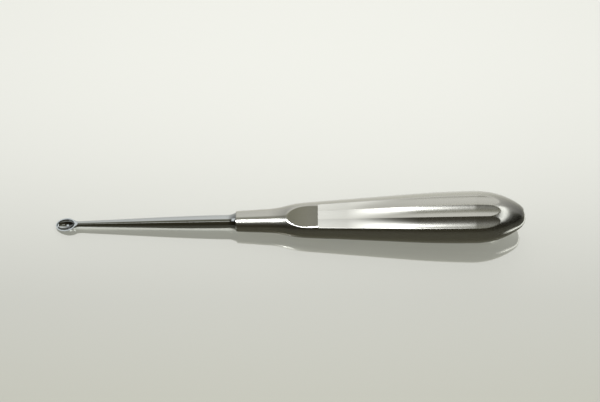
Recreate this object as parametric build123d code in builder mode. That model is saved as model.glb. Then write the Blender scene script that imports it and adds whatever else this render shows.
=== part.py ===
from build123d import *
import os
from math import asin, atan, cos, degrees, pi, radians, sin, sqrt, tan

# Bone curette, lying on the belly of its handle and the bottom of its cup.
# Millimetres. Along the tool, x runs from the tip of the cup to the tail of the handle.
# Across it, local z points out of the thumb rest and out of the mouth of the cup.

# Cup: half of an egg-shaped shell, with its mouth tipped forward
cup_length = 8.4
cup_width = 4.9
cup_wall = 0.42
cup_tip_down = 18.0
cup_centre_drop = 0.05
cup_blend = 1.2
mouth_drop = 0.4
mouth_room = 1.0

# Shaft: slim behind the cup, thicker towards the handle, with a tang inside the handle
shaft_end = 66.0
neck_radius = 1.08
neck_at = 10.0
middle_radius = 1.93
middle_at = 36.0
flare_length = 2.8
flare_start_radius = 2.45
root_radius = 3.3
tang_radius = 2.0
tang_length = 16.0
tang_clearance = 0.02
tang_end_gap = 0.5
tang_chamfer = 0.3

# Handle: places along it are measured from its front face
handle_length = 104.0
collar_radius = 3.75
collar_edge = 0.25
swell_start = 11.5
swell_start_radius = 4.33
swell_end = 25.0
swell_end_radius = 6.42
cone_end = 62.0
tail_length = 18.0
belly_radius = 9.45
tail_tip_round = 5.5

# Thumb rest: a shallow dish cut across the top, up to a square shoulder
rest_front = 17.5
rest_front_height = 5.55
rest_middle = 24.0
rest_middle_height = 4.95
rest_back_height = 5.4
shoulder_at = 29.7
rest_edge_round = 0.25

# Flutes: three broad ones on top, twelve narrow ones underneath, smooth sides between
top_flutes = 3
top_pitch = 26.5
top_cutter_radius = 5.1
under_flutes = 12
under_pitch = 14.0
under_cutter_radius = 2.65
crest_loss = 0.06
under_start = 30.5
under_full = 36.0
under_lead_in = 0.5
flute_end_margin = 6.0
flute_run_out_radius = 8.55

# The same sizes as angles and as places from the tip
tip_down = radians(cup_tip_down)
roll = radians(under_pitch / 2)
cup_half = cup_length / 2
cup_bulge = cup_width / 2
cup_at = cup_half * cos(tip_down)
# The belly and the end of the flutes keep their distance from the tail
belly_at = handle_length - tail_length
flute_run_out = handle_length - flute_end_margin
# The cone runs smoothly into the belly's arc, so its slope is found by a few passes
cone_end_radius = belly_radius
for _ in range(8):
    cone_slope = atan((cone_end_radius - swell_end_radius) / (cone_end - swell_end))
    cone_end_radius = belly_radius - (belly_at - cone_end) * tan(cone_slope / 2)
belly_arc = (belly_at - cone_end) / sin(cone_slope)

# The swell is two arcs that meet halfway, smooth with the collar and with the cone
collar_slope = atan((swell_start_radius - collar_radius) / swell_start)
swell_slope = atan((swell_end_radius - swell_start_radius) / (swell_end - swell_start))
swell_middle = (swell_start + swell_end) / 2
swell_middle_slope = 2 * swell_slope - (collar_slope + cone_slope) / 2
swell_middle_radius = swell_start_radius + (swell_middle - swell_start) * tan(
    (collar_slope + swell_middle_slope) / 2
)
# The tail is a long arc that runs into a ball end
tail_reach = handle_length - belly_at - tail_tip_round
tail_side_round = (tail_reach**2 + belly_radius**2 - tail_tip_round**2) / (
    2 * (belly_radius - tail_tip_round)
)
tail_turn = atan(tail_reach / (tail_side_round - belly_radius))


def handle_radius(place):
    """Radius of the fluted stretch: a cone, an arc to the belly, a fall towards the tail."""
    if place < cone_end:
        return swell_end_radius + (place - swell_end) * tan(cone_slope)
    if place < belly_at:
        return belly_radius - belly_arc + sqrt(belly_arc**2 - (place - belly_at) ** 2)
    fall = (place - belly_at) / (flute_run_out - belly_at)
    return belly_radius - (belly_radius - flute_run_out_radius) * fall


def lowest_of_cup(tilt):
    """Depth of the cup's lowest point under its centre, for an egg shape on a slope."""
    rise = cos(tip_down) * sin(tilt) + sin(tip_down) * cos(roll) * cos(tilt)
    return sqrt((cup_half * rise) ** 2 + cup_bulge**2 * (1 - rise**2))


# Resting place: the floor touches two crests of the narrow flutes and the cup.
# Each pass takes the touching point on the belly's arc for the tilt found so far.
tilt = 0.0
for _ in range(12):
    arc_turn = atan(tan(tilt) / cos(roll))
    touch_at = shaft_end + belly_at - belly_arc * sin(arc_turn)
    touch_radius = belly_radius - crest_loss - belly_arc * (1 - cos(arc_turn))
    belly_low = touch_radius * cos(roll) * cos(tilt)
    cup_low = cup_centre_drop * cos(roll) * cos(tilt) + lowest_of_cup(tilt)
    tilt = asin((belly_low - cup_low) / (touch_at - cup_at))
tip_height = cup_low - cup_at * sin(tilt)
tip_to_middle = (shaft_end + handle_length) * cos(tilt) / 2

# Planes: the tool's own, its side view, and sections across it
tool = Plane(
    origin=(-tip_to_middle, 0, tip_height),
    x_dir=(cos(tilt), 0, sin(tilt)),
    z_dir=(-sin(tilt) * cos(roll), -sin(roll), cos(tilt) * cos(roll)),
)
side = Plane(origin=tool.origin, x_dir=tool.x_dir, z_dir=-tool.y_dir)
spine = Axis(tool.origin, tool.x_dir)


def section(place):
    """Plane across the tool, with local y towards the thumb rest."""
    return Plane(
        origin=tool.from_local_coords(Vector(place, 0, 0)),
        x_dir=tool.y_dir,
        z_dir=tool.x_dir,
    )


def cutter_points(angle, pitch, cutter_radius, places, lead_in):
    """Places of a round cutter along the handle, so that its crests keep the fluted radius.
    It starts higher by the lead-in. The angle is counted from the thumb rest."""
    points = []
    for place in places:
        crest = handle_radius(place) - crest_loss
        height = crest * cos(pitch / 2) + sqrt(cutter_radius**2 - (crest * sin(pitch / 2)) ** 2)
        if place == places[0]:
            height = height + lead_in
        across = Vector(shaft_end + place, height * sin(angle), height * cos(angle))
        points.append(tool.from_local_coords(across))
    return points


# Shaft and cup in one piece
cup_plane = Plane(
    origin=tool.from_local_coords(Vector(cup_at, 0, -cup_centre_drop)),
    x_dir=side.x_dir * cos(tip_down) + side.y_dir * sin(tip_down),
    z_dir=side.z_dir,
)
mouth = Plane(
    origin=cup_plane.from_local_coords(Vector(0, -mouth_drop, 0)),
    x_dir=cup_plane.x_dir,
    z_dir=cup_plane.y_dir,
)
cup_spine = Axis(cup_plane.origin, cup_plane.x_dir)

with BuildPart() as shaft:
    with BuildSketch(side):
        with BuildLine():
            Line((cup_at, 0), (cup_at, neck_radius))
            Line((cup_at, neck_radius), (neck_at, neck_radius))
            Polyline(
                (neck_at, neck_radius),
                (middle_at, middle_radius),
                (shaft_end - flare_length, flare_start_radius),
                (shaft_end, root_radius),
            )
            Polyline(
                (shaft_end, root_radius),
                (shaft_end, tang_radius),
                (shaft_end + tang_length - tang_chamfer, tang_radius),
                (shaft_end + tang_length, tang_radius - tang_chamfer),
                (shaft_end + tang_length, 0),
                (cup_at, 0),
            )
        make_face()
    revolve(axis=spine)
    with BuildSketch(cup_plane):
        with BuildLine():
            EllipticalCenterArc((0, 0), cup_half, cup_bulge, start_angle=0, arc_size=180)
            Line((-cup_half, 0), (cup_half, 0))
        make_face()
    revolve(axis=cup_spine)
    fillet(shaft.edges().filter_by(GeomType.BSPLINE).sort_by(spine)[0], cup_blend)
    with BuildSketch(cup_plane):
        with BuildLine():
            EllipticalCenterArc(
                (0, 0), cup_half - cup_wall, cup_bulge - cup_wall, start_angle=0, arc_size=180
            )
            Line((cup_wall - cup_half, 0), (cup_half - cup_wall, 0))
        make_face()
    revolve(axis=cup_spine, mode=Mode.SUBTRACT)
    # Everything above the mouth goes, as far back as the rim
    with BuildSketch(mouth):
        Rectangle(2 * (cup_half + mouth_room), 2 * cup_width)
    extrude(amount=cup_width, mode=Mode.SUBTRACT)

# Cutters for the flutes, one path for each of them.
# Each path has a corner where the handle touches the floor
touch_place = touch_at - shaft_end
flute_places = [touch_place, (touch_place + belly_at) / 2, belly_at, flute_run_out]
with BuildPart() as top_cutters:
    for number in range(top_flutes):
        angle = radians(top_pitch) * (number - (top_flutes - 1) / 2)
        places = [shoulder_at] + flute_places
        with BuildLine() as path:
            Polyline(cutter_points(angle, radians(top_pitch), top_cutter_radius, places, 0))
        with BuildSketch(Plane(origin=path.line @ 0, z_dir=path.line % 0)):
            Circle(top_cutter_radius)
        sweep(path=path.line, transition=Transition.RIGHT)

with BuildPart() as under_cutters:
    for number in range(under_flutes):
        angle = pi + radians(under_pitch) * (number - (under_flutes - 1) / 2)
        places = [under_start, under_full] + flute_places
        pitch = radians(under_pitch)
        with BuildLine() as path:
            Polyline(cutter_points(angle, pitch, under_cutter_radius, places, under_lead_in))
        with BuildSketch(Plane(origin=path.line @ 0, z_dir=path.line % 0)):
            Circle(under_cutter_radius)
        sweep(path=path.line, transition=Transition.RIGHT)

# Handle: turned outline first
with BuildPart() as handle:
    with BuildSketch(side):
        with BuildLine():
            front = shaft_end
            tail = shaft_end + handle_length
            Polyline(
                (front, 0),
                (front, collar_radius),
                (front + swell_start, swell_start_radius),
            )
            swell_hollow = TangentArc(
                (front + swell_start, swell_start_radius),
                (front + swell_middle, swell_middle_radius),
                tangent=(cos(collar_slope), sin(collar_slope)),
            )
            TangentArc(
                swell_hollow @ 1, (front + swell_end, swell_end_radius), tangent=swell_hollow % 1
            )
            Line((front + swell_end, swell_end_radius), (front + cone_end, cone_end_radius))
            TangentArc(
                (front + cone_end, cone_end_radius),
                (front + belly_at, belly_radius),
                tangent=(cos(cone_slope), sin(cone_slope)),
            )
            tail_side = TangentArc(
                (front + belly_at, belly_radius),
                (
                    tail - tail_tip_round * (1 - sin(tail_turn)),
                    tail_tip_round * cos(tail_turn),
                ),
                tangent=(1, 0),
            )
            TangentArc(tail_side @ 1, (tail, 0), tangent=tail_side % 1)
            Line((tail, 0), (front, 0))
        make_face()
    revolve(axis=spine)
    # Thumb rest
    with BuildSketch(side):
        with BuildLine():
            ThreePointArc(
                (front + rest_front, rest_front_height),
                (front + rest_middle, rest_middle_height),
                (front + shoulder_at, rest_back_height),
            )
            Polyline(
                (front + shoulder_at, rest_back_height),
                (front + shoulder_at, belly_radius),
                (front + rest_front, belly_radius),
                (front + rest_front, rest_front_height),
            )
        make_face()
    extrude(amount=belly_radius, both=True, mode=Mode.SUBTRACT)
    dish = handle.faces(Select.LAST).filter_by(GeomType.CYLINDER)[0]
    fillet(dish.edges().sort_by(spine)[:-1], rest_edge_round)
    add(top_cutters.part, mode=Mode.SUBTRACT)
    add(under_cutters.part, mode=Mode.SUBTRACT)
    # Blind hole for the tang, and the rounded lip of the collar
    with BuildSketch(section(front)):
        Circle(tang_radius + tang_clearance)
    extrude(amount=tang_length + tang_end_gap, mode=Mode.SUBTRACT)
    lip = (
        handle.edges()
        .filter_by(GeomType.CIRCLE)
        .filter_by(lambda edge: abs(edge.radius - collar_radius) < 0.001)
    )
    chamfer(lip, collar_edge)

os.makedirs("parts", exist_ok=True)
shaft.part.label = "shaft"
handle.part.label = "handle"
export_step(shaft.part, "parts/shaft.step")
export_step(handle.part, "parts/handle.step")

print("rest tilt", round(degrees(tilt), 2), "degrees, roll", round(degrees(roll), 2), "degrees")
for piece in (shaft.part, handle.part):
    box = piece.bounding_box()
    print(piece.label, "volume", round(piece.volume, 1), "box", box.min, box.max)
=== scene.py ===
import bmesh
import bpy
import numpy as np
from mathutils import Matrix, Vector


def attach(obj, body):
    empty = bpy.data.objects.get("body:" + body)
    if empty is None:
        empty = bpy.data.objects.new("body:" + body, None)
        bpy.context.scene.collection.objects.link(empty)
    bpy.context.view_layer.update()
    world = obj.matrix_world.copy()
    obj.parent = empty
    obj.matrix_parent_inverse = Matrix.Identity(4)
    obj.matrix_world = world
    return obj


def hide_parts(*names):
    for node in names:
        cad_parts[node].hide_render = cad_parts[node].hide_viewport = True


# Bone curette of polished and satin stainless steel, lying on a pale glossy table.
# Sizes of the tool are millimetres along and across it, and metres once it is placed.
# Along it, x runs from the tip of the cup to the tail, and z points out of the thumb rest.
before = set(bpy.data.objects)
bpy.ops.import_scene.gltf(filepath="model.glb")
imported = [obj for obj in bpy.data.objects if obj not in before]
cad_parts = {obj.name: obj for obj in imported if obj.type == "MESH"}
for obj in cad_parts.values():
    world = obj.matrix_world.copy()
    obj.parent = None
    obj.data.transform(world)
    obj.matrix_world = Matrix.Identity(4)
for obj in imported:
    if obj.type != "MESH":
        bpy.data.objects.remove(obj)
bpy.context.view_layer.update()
millimetre = 0.001

# Cup
cup_length = 8.4
cup_width = 4.9
cup_wall = 0.42
cup_tip_down = np.radians(18.0)
cup_centre_drop = 0.05
mouth_drop = 0.4
neck_blend = 0.9

# Shaft
shaft_end = 66.0
flare_length = 2.8
flare_start = shaft_end - flare_length
shaft_places = np.array([0.0, 10.0, 36.0, flare_start])
shaft_radii = np.array([0.85, 1.08, 1.93, 2.45])
flare_end_radius = 3.3
flare_bend = 1.6
shaft_inside = 2.0

# Handle, from the front face of its collar
handle_length = 104.0
tool_length = shaft_end + handle_length
bore_radius = 2.6
bore_depth = 2.2
collar_radius = 3.75
collar_edge = 0.25
swell_start = 11.5
swell_start_radius = 4.33
swell_end = 25.0
swell_end_radius = 6.42
cone_end = 62.0
tail_length = 18.0
belly_at = handle_length - tail_length
belly_radius = 9.45
tail_tip_round = 5.5

# Thumb rest
rest_front = 17.5
rest_front_height = 5.55
rest_middle = 24.0
rest_middle_height = 4.95
rest_back_height = 5.4
shoulder_at = 29.7
rest_edge_round = 0.25
rest_cut_reach = 6.0
steepest_facing = 0.05

# Flutes
top_flutes = 3
top_pitch = np.radians(26.5)
top_cutter_radius = 5.1
under_flutes = 12
under_pitch = np.radians(14.0)
under_cutter_radius = 2.65
under_lead_in = 0.5
crest_loss = 0.06
crest_round = 0.10
under_start = 30.5
under_full = 36.0
flute_end_margin = 6.0
run_out = handle_length - flute_end_margin
run_out_radius = 8.55

# Meshes: points nearer than this many metres are one, and steeper edges than these stay sharp
merge_distance = 0.000001
handle_sharp_angle = np.radians(42.0)
shaft_sharp_angle = np.radians(40.0)

# Steel: sizes of its grain, and how rough it is from the finest to the coarsest spot
grit_size = 0.3846
satin_roughness = (0.19, 0.23)
haze_size = 1.111
polished_roughness = (0.06, 0.10)

# Grinding along the flutes: coarse behind the shoulder, finer from the belly on
ground_depth = 0.03
flute_roughness = 0.38
flute_stretch = 0.95
flute_fade_start = 40.0
flute_fade_end = 66.0
flute_fade = 0.85

# Table: its half width in metres, its own glow, and how much of it is mirror
table_half = 1.5
table_glow = 0.45
table_roughness = 0.05
mirror_to_lens = 0.5
mirror_to_steel = 0.92

# Room: glow in each direction, by degrees from straight up towards the back
room_glow = [
    (-180, 0.04), (-95, 0.04), (-60, 0.045), (-35, 0.06), (-12, 0.12), (3, 0.22), (9, 0.30),
    (14, 0.38), (20, 0.58), (23.5, 0.98), (26, 1.10), (50, 1.04), (90, 0.95), (120, 0.5), (180, 0.1),
]
room_side_reach = 34.0
front_tone = (1.12, 1.0, 0.62)
overhead_tone = (1.04, 1.02, 0.80)
back_tone = (1.0, 1.0, 1.0)
overhead_from = -12.0
overhead_to = 14.0

# Lights: angles in degrees towards the back and to the right, sizes in metres at one distance
light_distance = 1.5
lamp_angles = (-20.0, -18.5)
lamp_size = (0.34, 0.14)
lamp_radiance = 150.0
lamp_line_size = (0.6, 0.14)
lamp_line_radiance = 1.2
right_window_angles = (-5.0, 45.0)
right_window_size = (0.32, 2.0)
right_window_radiance = 2.0
left_window_angles = (5.0, -48.0)
left_window_size = (0.34, 0.8)
left_window_radiance = 1.0

# Radius given to what a cutter doesn't reach, well outside the handle
untouched = 2 * belly_radius

# Cone of the handle: it runs smoothly into the belly's arc
cone_end_radius = belly_radius
for _ in range(8):
    cone_slope = np.arctan((cone_end_radius - swell_end_radius) / (cone_end - swell_end))
    cone_end_radius = belly_radius - (belly_at - cone_end) * np.tan(cone_slope / 2)
belly_arc = (belly_at - cone_end) / np.sin(cone_slope)

# Tail: a long arc that runs into a ball end
tail_reach = handle_length - belly_at - tail_tip_round
tail_side_round = (tail_reach**2 + belly_radius**2 - tail_tip_round**2) / (
    2 * (belly_radius - tail_tip_round)
)
tail_turn = np.arctan(tail_reach / (tail_side_round - belly_radius))
ball_start = handle_length - tail_tip_round * (1 - np.sin(tail_turn))

# How it rests: on two crests of the narrow flutes and on the bottom of its cup
rest_roll = under_pitch / 2
rest_tilt = 0.0
cup_at = cup_length / 2 * np.cos(cup_tip_down)
for _ in range(12):
    arc_turn = np.arctan(np.tan(rest_tilt) / np.cos(rest_roll))
    touch_at = shaft_end + belly_at - belly_arc * np.sin(arc_turn)
    touch_radius = belly_radius - crest_loss - belly_arc * (1 - np.cos(arc_turn))
    belly_low = touch_radius * np.cos(rest_roll) * np.cos(rest_tilt)
    lean = np.cos(cup_tip_down) * np.sin(rest_tilt)
    lean = lean + np.sin(cup_tip_down) * np.cos(rest_roll) * np.cos(rest_tilt)
    cup_low = cup_centre_drop * np.cos(rest_roll) * np.cos(rest_tilt)
    cup_low = cup_low + np.hypot(cup_length / 2 * lean, cup_width / 2 * np.sqrt(1 - lean**2))
    rest_tilt = np.arcsin((belly_low - cup_low) / (touch_at - cup_at))
tip_height = cup_low - cup_at * np.sin(rest_tilt)


def place_in_frame(x, y, z):
    """Tool sizes to the object's frame: roll about the spine, tilt about y, then move."""
    y_rolled = y * np.cos(rest_roll) - z * np.sin(rest_roll)
    z_rolled = y * np.sin(rest_roll) + z * np.cos(rest_roll)
    x_turned = x * np.cos(rest_tilt) - z_rolled * np.sin(rest_tilt)
    z_turned = x * np.sin(rest_tilt) + z_rolled * np.cos(rest_tilt)
    x_start = -tool_length * np.cos(rest_tilt) / 2
    points = np.stack([x_turned + x_start, y_rolled, z_turned + tip_height], axis=-1)
    return points * millimetre


def smooth_least(first, second, reach):
    """The lesser of two lengths, with a round of the given reach where they meet."""
    mix = np.clip(0.5 + 0.5 * (second - first) / reach, 0, 1)
    return second + (first - second) * mix - reach * mix * (1 - mix)


def surface_mesh(name, points, ground, sharp_angle):
    """A closed tube of rings: points[ring, place round it], shut by a fan at either end.
    Ground is one where the steel is ground lengthwise, nought elsewhere."""
    rings, sides = points.shape[:2]
    front = points[0].mean(axis=0)
    back = points[-1].mean(axis=0)
    corners = np.concatenate([points.reshape(-1, 3), front[None], back[None]])
    ring = np.arange(rings - 1)[:, None]
    side = np.arange(sides)[None, :]
    after = (side + 1) % sides
    quads = np.stack(
        [
            ring * sides + side,
            ring * sides + after,
            (ring + 1) * sides + after,
            (ring + 1) * sides + side,
        ],
        axis=-1,
    ).reshape(-1, 4)
    around = np.arange(sides)
    follow = (around + 1) % sides
    front_fan = np.stack([follow, around, np.full(sides, rings * sides)], axis=-1)
    last = (rings - 1) * sides
    back_fan = np.stack([last + around, last + follow, np.full(sides, rings * sides + 1)], axis=-1)
    mesh = bpy.data.meshes.new(name)
    faces = quads.tolist() + front_fan.tolist() + back_fan.tolist()
    mesh.from_pydata(corners.tolist(), [], faces)
    mesh.validate()
    finish = mesh.attributes.new("ground", "FLOAT", "POINT")
    finish.data.foreach_set("value", np.append(ground.reshape(-1), [0.0, 0.0]))
    tidy = bmesh_of(mesh)
    tidy.to_mesh(mesh)
    tidy.free()
    mesh.shade_smooth()
    mesh.set_sharp_from_angle(angle=sharp_angle)
    piece = bpy.data.objects.new(name, mesh)
    bpy.context.scene.collection.objects.link(piece)
    return piece


def bmesh_of(mesh):
    """The mesh with its doubled points merged and its faces turned outwards."""
    tidy = bmesh.new()
    tidy.from_mesh(mesh)
    bmesh.ops.remove_doubles(tidy, verts=tidy.verts, dist=merge_distance)
    bmesh.ops.recalc_face_normals(tidy, faces=tidy.faces)
    return tidy


def fluted_radius(place):
    """Radius at the crests of the flutes: a cone, an arc to the belly, a gentle fall."""
    cone = swell_end_radius + (place - swell_end) * np.tan(cone_slope)
    reach = np.clip(belly_at - place, 0, belly_at - cone_end)
    arc = belly_radius - belly_arc + np.sqrt(belly_arc**2 - reach**2)
    fall = (belly_radius - run_out_radius) * (place - belly_at) / (run_out - belly_at)
    return np.where(place < cone_end, cone, np.where(place < belly_at, arc, belly_radius - fall))


def turned_radius(place):
    """Turned outline: collar lip, slim cone, swell of two bends, cone, belly and ball-ended tail."""
    lip = np.clip(collar_edge - place, 0, collar_edge)
    collar_rise = (swell_start_radius - collar_radius) / swell_start
    collar = collar_radius + place * collar_rise - lip
    half_swell = (swell_end - swell_start) / 2
    swell_rise = (swell_end_radius - swell_start_radius) / (2 * half_swell)
    middle_rise = 2 * swell_rise - (collar_rise + np.tan(cone_slope)) / 2
    hollow = np.clip(place - swell_start, 0, half_swell)
    swell = swell_start_radius + collar_rise * hollow
    swell = swell + (middle_rise - collar_rise) * hollow**2 / (2 * half_swell)
    bulge = np.clip(place - swell_start - half_swell, 0, half_swell)
    swell = swell + middle_rise * bulge
    swell = swell + (np.tan(cone_slope) - middle_rise) * bulge**2 / (2 * half_swell)
    behind = np.clip(place - belly_at, 0, ball_start - belly_at)
    side = belly_radius - tail_side_round + np.sqrt(tail_side_round**2 - behind**2)
    from_ball = np.clip(place - handle_length + tail_tip_round, -tail_tip_round, tail_tip_round)
    ball = np.sqrt(tail_tip_round**2 - from_ball**2)
    tail = np.where(place < ball_start, side, ball)
    front = np.where(place < swell_start, collar, swell)
    back = np.where(place < belly_at, fluted_radius(place), tail)
    return np.where(place < swell_end, front, back)


def rest_height(place):
    """Height of the thumb rest over the spine: a parabola through its three heights."""
    places = [rest_front, rest_middle, shoulder_at]
    heights = [rest_front_height, rest_middle_height, rest_back_height]
    return np.polyval(np.polyfit(places, heights, 2), place)


def flute_radius(angle, count, pitch, cutter_radius, crest):
    """Surface left by a row of round cutters whose neighbours meet at the crest radius."""
    turn = angle / pitch + count / 2
    across = (turn - np.floor(turn) - 0.5) * pitch
    height = crest * np.cos(pitch / 2)
    height = height + np.sqrt(cutter_radius**2 - (crest * np.sin(pitch / 2)) ** 2)
    reach = np.maximum(cutter_radius**2 - (height * np.sin(across)) ** 2, 0)
    hollow = height * np.cos(across) - np.sqrt(reach)
    inside = (turn > 0) & (turn < count)
    return np.where(inside, hollow, untouched)


def handle_points(places, angles):
    """Radius for each place and angle counted from the thumb rest, and where it is fluted."""
    place = places[:, None]
    angle = angles[None, :]
    turned = turned_radius(place) + 0 * angle
    radius = turned
    # Top flutes, behind the shoulder
    crest = fluted_radius(place) - crest_loss
    top = flute_radius(angle, top_flutes, top_pitch, top_cutter_radius, crest)
    radius = np.where(place >= shoulder_at, smooth_least(radius, top, crest_round), radius)
    # Narrow flutes underneath: their cutters come down behind the swell
    from_below = (np.abs(angle) - np.pi) * np.sign(angle)
    lead = under_lead_in * np.clip((under_full - place) / (under_full - under_start), 0, 1)
    under = flute_radius(from_below, under_flutes, under_pitch, under_cutter_radius, crest) + lead
    radius = np.where(place >= under_start, smooth_least(radius, under, crest_round), radius)
    # The lengthwise grinding is coarse behind the shoulder and finer on the belly
    finer = np.clip((place - flute_fade_start) / (flute_fade_end - flute_fade_start), 0, 1)
    ground = np.where(radius < turned - ground_depth, 1.0 - flute_fade * finer, 0.0)
    # Thumb rest: a flat-bottomed cut across the top, up to the shoulder
    facing = np.maximum(np.cos(angle), steepest_facing)
    dish = np.where(np.cos(angle) > steepest_facing, rest_height(place) / facing, untouched)
    in_rest = (place > rest_front - rest_cut_reach) & (place < shoulder_at)
    radius = np.where(in_rest, smooth_least(radius, dish, rest_edge_round), radius)
    return radius, ground


def make_handle():
    """Handle of satin steel: bore, front face, lip, body with its rest and flutes, tail.
    Its rings are closest where the rest, the flutes' starts and their ends are cut."""
    rest_from = rest_front - 6.5
    starts_to = under_full + 4.0
    ends_to = run_out + 1.0
    shoulder_step = 0.02
    places = np.concatenate(
        [
            np.linspace(0, collar_edge, 5),
            np.linspace(collar_edge, rest_from, 14)[1:],
            np.linspace(rest_from, shoulder_at - shoulder_step, 84)[1:],
            np.linspace(shoulder_at, starts_to, 40),
            np.linspace(starts_to, belly_at, 60)[1:],
            np.linspace(belly_at, ends_to, 76)[1:],
            handle_length - (handle_length - ends_to) * np.linspace(1, 0, 22)[1:] ** 2,
        ]
    )
    angles = np.linspace(-np.pi, np.pi, 301)[:-1]
    radius, ground = handle_points(places, angles)
    place = places[:, None] + 0 * radius
    # The bore and the front face come first, from the bottom of the bore outwards
    bore = np.array([[bore_depth, 0.0], [bore_depth, bore_radius], [0.0, bore_radius]])
    place = np.concatenate([bore[:, :1] + 0 * place[:3], place])
    radius = np.concatenate([bore[:, 1:] + 0 * radius[:3], radius])
    ground = np.concatenate([0 * ground[:3], ground])
    x = shaft_end + place
    y = radius * np.sin(angles)
    z = radius * np.cos(angles)
    points = place_in_frame(x, y, z)
    return surface_mesh("satin_handle", points, ground, handle_sharp_angle)


def shaft_radius(place):
    """Radius of the shaft: a curve through its sizes, then a flare up to the collar."""
    fit = np.polyfit(shaft_places, shaft_radii, 3)
    plain = np.polyval(fit, np.minimum(place, flare_start))
    part = np.clip((place - flare_start) / (shaft_end - flare_start), 0, 1)
    return plain + (flare_end_radius - plain) * part**flare_bend


def make_shaft():
    """Shaft and cup in one: each ring goes round the outside and back through the bowl."""
    tip_reach = 0.998
    neck_room = 1.6
    rod_inside_cup = 1.0
    rod_fade = 3.0
    search_reach = 6.0
    search_passes = 32
    cup_half = cup_length / 2
    cup_bulge = cup_width / 2
    slope = np.tan(cup_tip_down)
    start = cup_at * (1 - tip_reach)
    neck_end = 2 * cup_at + neck_room
    steps = np.linspace(0, 1, 70)
    places = np.concatenate(
        [
            start + (neck_end - start) * (1 - np.cos(np.pi * steps)) / 2,
            np.linspace(neck_end, flare_start, 60)[1:],
            np.linspace(flare_start, shaft_end, 14)[1:],
            [shaft_end + shaft_inside],
        ]
    )
    mouth = -cup_centre_drop - mouth_drop / np.cos(cup_tip_down) + (places - cup_at) * slope
    centre = np.minimum(mouth, 0.0)
    below = np.linspace(0, np.pi, 65)

    def outside(y, z, place):
        """Signed measure of the smooth union of the egg and the shaft."""
        forward = place - cup_at
        high = z + cup_centre_drop
        along = forward * np.cos(cup_tip_down) + high * np.sin(cup_tip_down)
        up = -forward * np.sin(cup_tip_down) + high * np.cos(cup_tip_down)
        egg = (np.sqrt((along / cup_half) ** 2 + (y**2 + up**2) / cup_bulge**2) - 1) * cup_bulge
        rod = np.sqrt(y**2 + z**2) - shaft_radius(place)
        rod = rod + rod_fade * np.maximum(cup_at + rod_inside_cup - place, 0)
        return smooth_least(egg, rod, neck_blend)

    near = np.zeros((len(places), len(below)))
    far = near + search_reach
    for _ in range(search_passes):
        middle = (near + far) / 2
        y = middle * np.cos(below)
        z = centre[:, None] - middle * np.sin(below)
        within = outside(y, z, places[:, None]) < 0
        near = np.where(within, middle, near)
        far = np.where(within, far, middle)
    low_y = near * np.cos(below)
    low_z = centre[:, None] - near * np.sin(below)
    half_width = near[:, 0]
    # Top of each ring: the flat rim inwards, the bowl across, the flat rim outwards
    inner_half = cup_half - cup_wall
    inner_bulge = cup_bulge - cup_wall
    level = np.sqrt(1 - (mouth_drop / inner_bulge) ** 2)
    along_mouth = (places - cup_at + mouth_drop * np.sin(cup_tip_down)) / np.cos(cup_tip_down)
    share = np.clip(1 - (along_mouth / (inner_half * level)) ** 2, 0, 1)
    inner_width = inner_bulge * level * np.sqrt(share)
    rim_steps = np.linspace(0, 1, 21)[1:]
    bowl_steps = np.linspace(np.pi, 0, 49)[1:]
    back_steps = np.linspace(0, 1, 21)[1:-1]
    width = half_width[:, None]
    inner = inner_width[:, None]
    high_y = np.concatenate(
        [
            -width * np.cos(np.pi / 2 * rim_steps) * (inner == 0)
            - (width + (inner - width) * rim_steps) * (inner > 0),
            inner * np.cos(bowl_steps),
            width * np.sin(np.pi / 2 * back_steps) * (inner == 0)
            + (inner + (width - inner) * back_steps) * (inner > 0),
        ],
        axis=1,
    )
    round_top = centre[:, None] + np.sqrt(np.maximum(width**2 - high_y**2, 0))
    high_z = np.where(mouth[:, None] > 0, np.minimum(round_top, mouth[:, None]), mouth[:, None])
    # The bowl: lower root of the inner egg straight under each point of the mouth
    sine = np.sin(cup_tip_down)
    cosine = np.cos(cup_tip_down)
    forward = places[:, None] - cup_at
    square = (sine / inner_half) ** 2 + (cosine / inner_bulge) ** 2
    linear = 2 * forward * sine * cosine * (1 / inner_half**2 - 1 / inner_bulge**2)
    rest = (forward * cosine / inner_half) ** 2 + (forward * sine / inner_bulge) ** 2
    rest = rest + (high_y / inner_bulge) ** 2 - 1
    root = linear**2 - 4 * square * rest
    bowl_z = (-linear - np.sqrt(np.maximum(root, 0))) / (2 * square) - cup_centre_drop
    in_bowl = (np.abs(high_y) < inner) & (root > 0)
    high_z = np.where(in_bowl, np.minimum(high_z, bowl_z), high_z)
    y = np.concatenate([low_y, high_y], axis=1)
    z = np.concatenate([low_z, high_z], axis=1)
    x = places[:, None] + 0 * y
    points = place_in_frame(x, y, z)
    return surface_mesh("polished_shaft", points, 0 * x, shaft_sharp_angle)


def linear(hex_colour):
    """sRGB hex to the linear colour that the shader wants."""
    parts = np.array([int(hex_colour[i : i + 2], 16) for i in (1, 3, 5)]) / 255
    return tuple(np.where(parts <= 0.04045, parts / 12.92, ((parts + 0.055) / 1.055) ** 2.4)) + (1.0,)


def add_node(material, kind, inputs=None, **settings):
    """One node with its settings; inputs are values, or sockets that are linked."""
    node = material.node_tree.nodes.new(kind)
    for name, value in settings.items():
        setattr(node, name, value)
    for name, value in (inputs or {}).items():
        if isinstance(value, bpy.types.NodeSocket):
            material.node_tree.links.new(value, node.inputs[name])
        else:
            node.inputs[name].default_value = value
    return node


def new_material(name):
    """An empty node material and its output."""
    material = bpy.data.materials.new(name)
    material.use_nodes = True
    material.node_tree.nodes.clear()
    return material, add_node(material, "ShaderNodeOutputMaterial")


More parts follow.
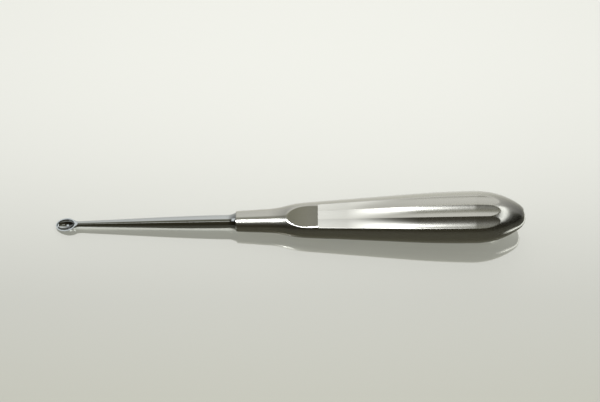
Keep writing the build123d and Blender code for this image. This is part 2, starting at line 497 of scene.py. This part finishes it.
def grain(material, size, detail, roughness):
    """Noise with spots of the given size, and the roughness that it gives the steel."""
    place = add_node(material, "ShaderNodeTexCoord")
    scale = 1 / (size * millimetre)
    noise = add_node(
        material,
        "ShaderNodeTexNoise",
        {"Vector": place.outputs["Object"], "Scale": scale, "Detail": detail},
    ).outputs["Fac"]
    spread = {"From Min": 0.3, "From Max": 0.7, "To Min": roughness[0], "To Max": roughness[1]}
    dull = add_node(material, "ShaderNodeMapRange", {"Value": noise, **spread})
    return noise, dull.outputs["Result"]


def satin_stainless():
    """Stainless steel, glass-bead blasted and lightly brushed: wide soft highlights.
    Real grit is finer than the render can show, so it is drawn as coarse as it needs to show."""
    material, output = new_material("satin_stainless_steel")
    grit, dull = grain(material, grit_size, 3.0, satin_roughness)
    ground = add_node(material, "ShaderNodeAttribute", attribute_name="ground").outputs["Fac"]
    rough = add_node(
        material,
        "ShaderNodeMath",
        {0: ground, 1: flute_roughness, 2: dull},
        operation="MULTIPLY_ADD",
    )
    stretch = add_node(
        material, "ShaderNodeMath", {0: ground, 1: flute_stretch}, operation="MULTIPLY"
    )
    # Ground lengthwise, so its highlights spread round the handle and not along it
    facing = add_node(material, "ShaderNodeNewGeometry")
    along = (float(np.cos(rest_tilt)), 0.0, float(np.sin(rest_tilt)))
    across = add_node(
        material,
        "ShaderNodeVectorMath",
        {0: along, 1: facing.outputs["Normal"]},
        operation="CROSS_PRODUCT",
    )
    bump = add_node(
        material,
        "ShaderNodeBump",
        {"Height": grit, "Strength": 0.02, "Distance": 0.05 * millimetre},
    )
    steel = add_node(
        material,
        "ShaderNodeBsdfPrincipled",
        {
            "Base Color": linear("#bab9b0"),
            "Metallic": 1.0,
            "Roughness": rough.outputs[0],
            "Normal": bump.outputs["Normal"],
            "Anisotropic": stretch.outputs[0],
            "Tangent": across.outputs["Vector"],
        },
    )
    material.node_tree.links.new(steel.outputs["BSDF"], output.inputs["Surface"])
    return material


def polished_stainless():
    """Stainless steel, buffed to a mirror: sharp reflections with faint buffing haze."""
    material, output = new_material("polished_stainless_steel")
    dull = grain(material, haze_size, 2.0, polished_roughness)[1]
    steel = add_node(
        material,
        "ShaderNodeBsdfPrincipled",
        {"Base Color": linear("#b7bab8"), "Metallic": 1.0, "Roughness": dull},
    )
    material.node_tree.links.new(steel.outputs["BSDF"], output.inputs["Surface"])
    return material


def glossy_table():
    """Pale table with a clear mirror image over it. The steel sees little but the mirror."""
    material, output = new_material("pale_glossy_table")
    pale = add_node(material, "ShaderNodeBsdfDiffuse", {"Color": linear("#d6d6ce")})
    glow = add_node(
        material, "ShaderNodeEmission", {"Color": linear("#f8faec"), "Strength": table_glow}
    )
    body = add_node(
        material, "ShaderNodeAddShader", {0: pale.outputs["BSDF"], 1: glow.outputs["Emission"]}
    )
    shine = add_node(
        material,
        "ShaderNodeBsdfGlossy",
        {"Color": linear("#fcfcf8"), "Roughness": table_roughness},
    )
    ray = add_node(material, "ShaderNodeLightPath")
    share = add_node(
        material,
        "ShaderNodeMapRange",
        {
            "Value": ray.outputs["Is Camera Ray"],
            "To Min": mirror_to_steel,
            "To Max": mirror_to_lens,
        },
    )
    mix = add_node(
        material,
        "ShaderNodeMixShader",
        {"Fac": share.outputs["Result"], 1: body.outputs["Shader"], 2: shine.outputs["BSDF"]},
    )
    material.node_tree.links.new(mix.outputs["Shader"], output.inputs["Surface"])
    return material


def make_table():
    """Flat table top, far wider than the view."""
    mesh = bpy.data.meshes.new("table_top")
    signs = [(-1, -1), (1, -1), (1, 1), (-1, 1)]
    corners = [(table_half * x, table_half * y, 0) for x, y in signs]
    mesh.from_pydata(corners, [], [(0, 1, 2, 3)])
    table = bpy.data.objects.new("table_top", mesh)
    bpy.context.scene.collection.objects.link(table)
    table.data.materials.append(glossy_table())


def direction(angles):
    """Unit vector: its first angle from straight up towards the back, its second to the right."""
    back, side = np.radians(angles)
    return Vector((np.sin(side), np.sin(back) * np.cos(side), np.cos(back) * np.cos(side)))


def soft_light(name, angles, size, radiance, colour):
    """Rectangular light that faces the tool. Its size is left to right, then front to back."""
    width, depth = size
    lamp = bpy.data.lights.new(name, "AREA")
    lamp.shape = "RECTANGLE"
    lamp.size = width
    lamp.size_y = depth
    lamp.energy = radiance * np.pi * width * depth
    lamp.color = linear(colour)[:3]
    light = bpy.data.objects.new(name, lamp)
    bpy.context.scene.collection.objects.link(light)
    towards = direction(angles)
    along = (Vector((1, 0, 0)) - towards * towards.x).normalized()
    turn = Matrix((along, towards.cross(along), towards)).transposed().to_4x4()
    light.matrix_world = Matrix.Translation(towards * light_distance) @ turn
    return light


def degrees_from(world, first, second):
    """Angle of a direction whose two parts are given, in degrees."""
    turn = add_node(world, "ShaderNodeMath", {0: first, 1: second}, operation="ARCTAN2")
    return add_node(world, "ShaderNodeMath", {0: turn.outputs[0]}, operation="DEGREES").outputs[0]


def make_room():
    """The room as seen from the table: its glow by back angle, dimmer towards both sides.
    It is warm in front, a little warm overhead and neutral at the back."""
    world = bpy.data.worlds.new("room")
    world.use_nodes = True
    place = add_node(world, "ShaderNodeTexCoord")
    parts = add_node(world, "ShaderNodeSeparateXYZ", {"Vector": place.outputs["Generated"]}).outputs
    back = degrees_from(world, parts["Y"], parts["Z"])
    share = add_node(
        world, "ShaderNodeMapRange", {"Value": back, "From Min": -180.0, "From Max": 180.0}
    ).outputs["Result"]
    ramp = add_node(world, "ShaderNodeValToRGB", {"Fac": share})
    stops = ramp.color_ramp.elements
    while len(stops) > 1:
        stops.remove(stops[-1])
    for number, (angle, glow) in enumerate(room_glow):
        stop = stops[0] if number == 0 else stops.new((angle + 180.0) / 360.0)
        stop.position = (angle + 180.0) / 360.0
        tone = back_tone
        if angle < overhead_from:
            tone = front_tone
        elif angle <= overhead_to:
            tone = overhead_tone
        stop.color = (glow * tone[0], glow * tone[1], glow * tone[2], 1.0)
    # Dimmer to the sides: one over one plus the square of the side angle over its reach
    flat = add_node(world, "ShaderNodeMath", {0: parts["X"], 1: parts["X"]}, operation="MULTIPLY")
    level = add_node(world, "ShaderNodeMath", {0: 1.0, 1: flat.outputs[0]}, operation="SUBTRACT")
    level = add_node(world, "ShaderNodeMath", {0: level.outputs[0]}, operation="SQRT").outputs[0]
    aside = degrees_from(world, parts["X"], level)
    aside = add_node(
        world, "ShaderNodeMath", {0: aside, 1: room_side_reach}, operation="DIVIDE"
    ).outputs[0]
    aside = add_node(world, "ShaderNodeMath", {0: aside, 1: aside}, operation="MULTIPLY").outputs[0]
    aside = add_node(world, "ShaderNodeMath", {0: aside, 1: 1.0}, operation="ADD").outputs[0]
    dimming = add_node(world, "ShaderNodeMath", {0: 1.0, 1: aside}, operation="DIVIDE").outputs[0]
    background = world.node_tree.nodes["Background"]
    world.node_tree.links.new(ramp.outputs["Color"], background.inputs["Color"])
    world.node_tree.links.new(dimming, background.inputs["Strength"])
    bpy.context.scene.world = world


def light_the_room(handle):
    """The pale room, two windows, and a lamp up on the left in front.
    The lamp itself lights the handle alone, and its faint copy gives the shaft a thin line."""
    make_room()
    lamp = soft_light("lamp", lamp_angles, lamp_size, lamp_radiance, "#f7f9ff")
    lit = bpy.data.collections.new("lit_by_the_lamp")
    lit.objects.link(handle)
    lamp.light_linking.receiver_collection = lit
    soft_light("lamp_line", lamp_angles, lamp_line_size, lamp_line_radiance, "#fffdf6")
    soft_light(
        "window_right", right_window_angles, right_window_size, right_window_radiance, "#f8fbff"
    )
    soft_light(
        "window_left", left_window_angles, left_window_size, left_window_radiance, "#f4f8ff"
    )


# Camera: the photograph's width and scale give its lens
image_width = 600
image_height = 402
pixels_per_millimetre = 2.776
camera_elevation = np.radians(67.5)
camera_distance = 700.0
axis_pixel = (298.8, 220.2)
axis_pixel_place = 88.6


def make_camera():
    """Camera that puts the spine at axis_pixel_place on the pixel that the photo gives it."""
    spine = Vector(place_in_frame(axis_pixel_place, 0.0, 0.0).tolist())
    up = Vector((0, np.sin(camera_elevation), np.cos(camera_elevation)))
    back = Vector((0, -np.cos(camera_elevation), np.sin(camera_elevation)))
    right = Vector((1, 0, 0))
    pixel = millimetre / pixels_per_millimetre
    aim = spine + up * (axis_pixel[1] - image_height / 2) * pixel
    aim = aim + right * (image_width / 2 - axis_pixel[0]) * pixel
    data = bpy.data.cameras.new("camera")
    data.sensor_width = 36.0
    data.lens = data.sensor_width * camera_distance / (image_width / pixels_per_millimetre)
    data.clip_start = 0.01
    camera = bpy.data.objects.new("camera", data)
    bpy.context.scene.collection.objects.link(camera)
    turn = Matrix((right, up, back)).transposed().to_4x4()
    camera.matrix_world = Matrix.Translation(aim + back * camera_distance * millimetre) @ turn
    bpy.context.scene.camera = camera


handle = make_handle()
handle.data.materials.append(satin_stainless())
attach(handle, "root")
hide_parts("handle")

shaft = make_shaft()
shaft.data.materials.append(polished_stainless())
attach(shaft, "root")
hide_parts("shaft")

make_table()
light_the_room(handle)
make_camera()
bpy.context.scene.view_settings.view_transform = "Standard"
